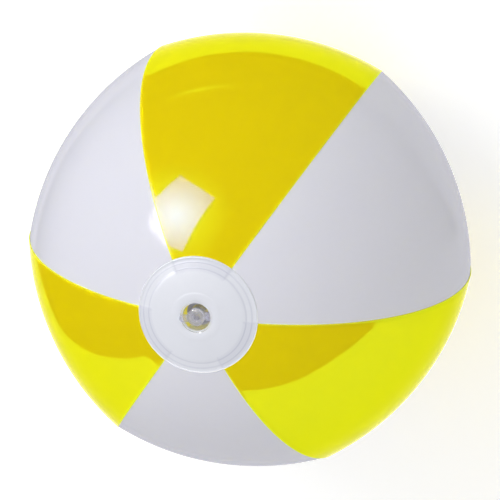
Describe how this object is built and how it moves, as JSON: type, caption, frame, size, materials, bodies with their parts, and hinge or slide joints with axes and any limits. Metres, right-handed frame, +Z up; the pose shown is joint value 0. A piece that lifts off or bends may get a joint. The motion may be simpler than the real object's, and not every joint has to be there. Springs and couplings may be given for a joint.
{
  "type": "beach ball",
  "caption": "Inflated vinyl beach ball of alternating yellow and white gore panels, with a white disc at each pole and a clear push-in air valve with a strapped plug.",
  "frame": {"origin": "middle of the flat contact patch of the lower disc, on the polar axis", "axes": "+Z up along the polar axis to the valve, +X from the valve's axis towards the hinge of the plug's strap"},
  "size_m": [0.2762, 0.2741, 0.2818],
  "materials": {
    "yellow_film": "glossy calendered vinyl film, translucent yellow",
    "white_film": "glossy calendered vinyl film, opaque white",
    "disc_film": "glossy milky white vinyl film with welded rings",
    "clear_vinyl": "clear soft moulded vinyl"
  },
  "bodies": {
    "ball": {"panel_white_1": "white_film", "panel_white_2": "white_film", "panel_white_3": "white_film", "panel_yellow_1": "yellow_film", "panel_yellow_2": "yellow_film", "panel_yellow_3": "yellow_film", "valve_disc": "disc_film", "end_disc": "disc_film", "valve_flange": "clear_vinyl", "valve_skirt": "clear_vinyl"},
    "stem": {"valve_stem": "clear_vinyl"},
    "plug": {"valve_plug": "clear_vinyl", "plug_strap": "clear_vinyl"},
    "flap": {"check_flap": "clear_vinyl"}
  },
  "joints": [
    {"name": "stem_pull", "type": "slide", "parent": "ball", "child": "stem", "axis": [0, 0, 1], "range_m": [0, 0.017], "deforming": ["valve_skirt"]},
    {"name": "plug_hinge", "type": "hinge", "parent": "stem", "child": "plug", "pos_m": [0.00775, 0, 0.28031], "axis": [0, 1, 0], "range_deg": [0, 140]},
    {"name": "flap_hinge", "type": "hinge", "parent": "stem", "child": "flap", "pos_m": [-0.0043, 0, 0.26656], "axis": [0, 1, 0], "range_deg": [0, 70], "stiffness_Nm_per_rad": 0.00005}
  ]
}
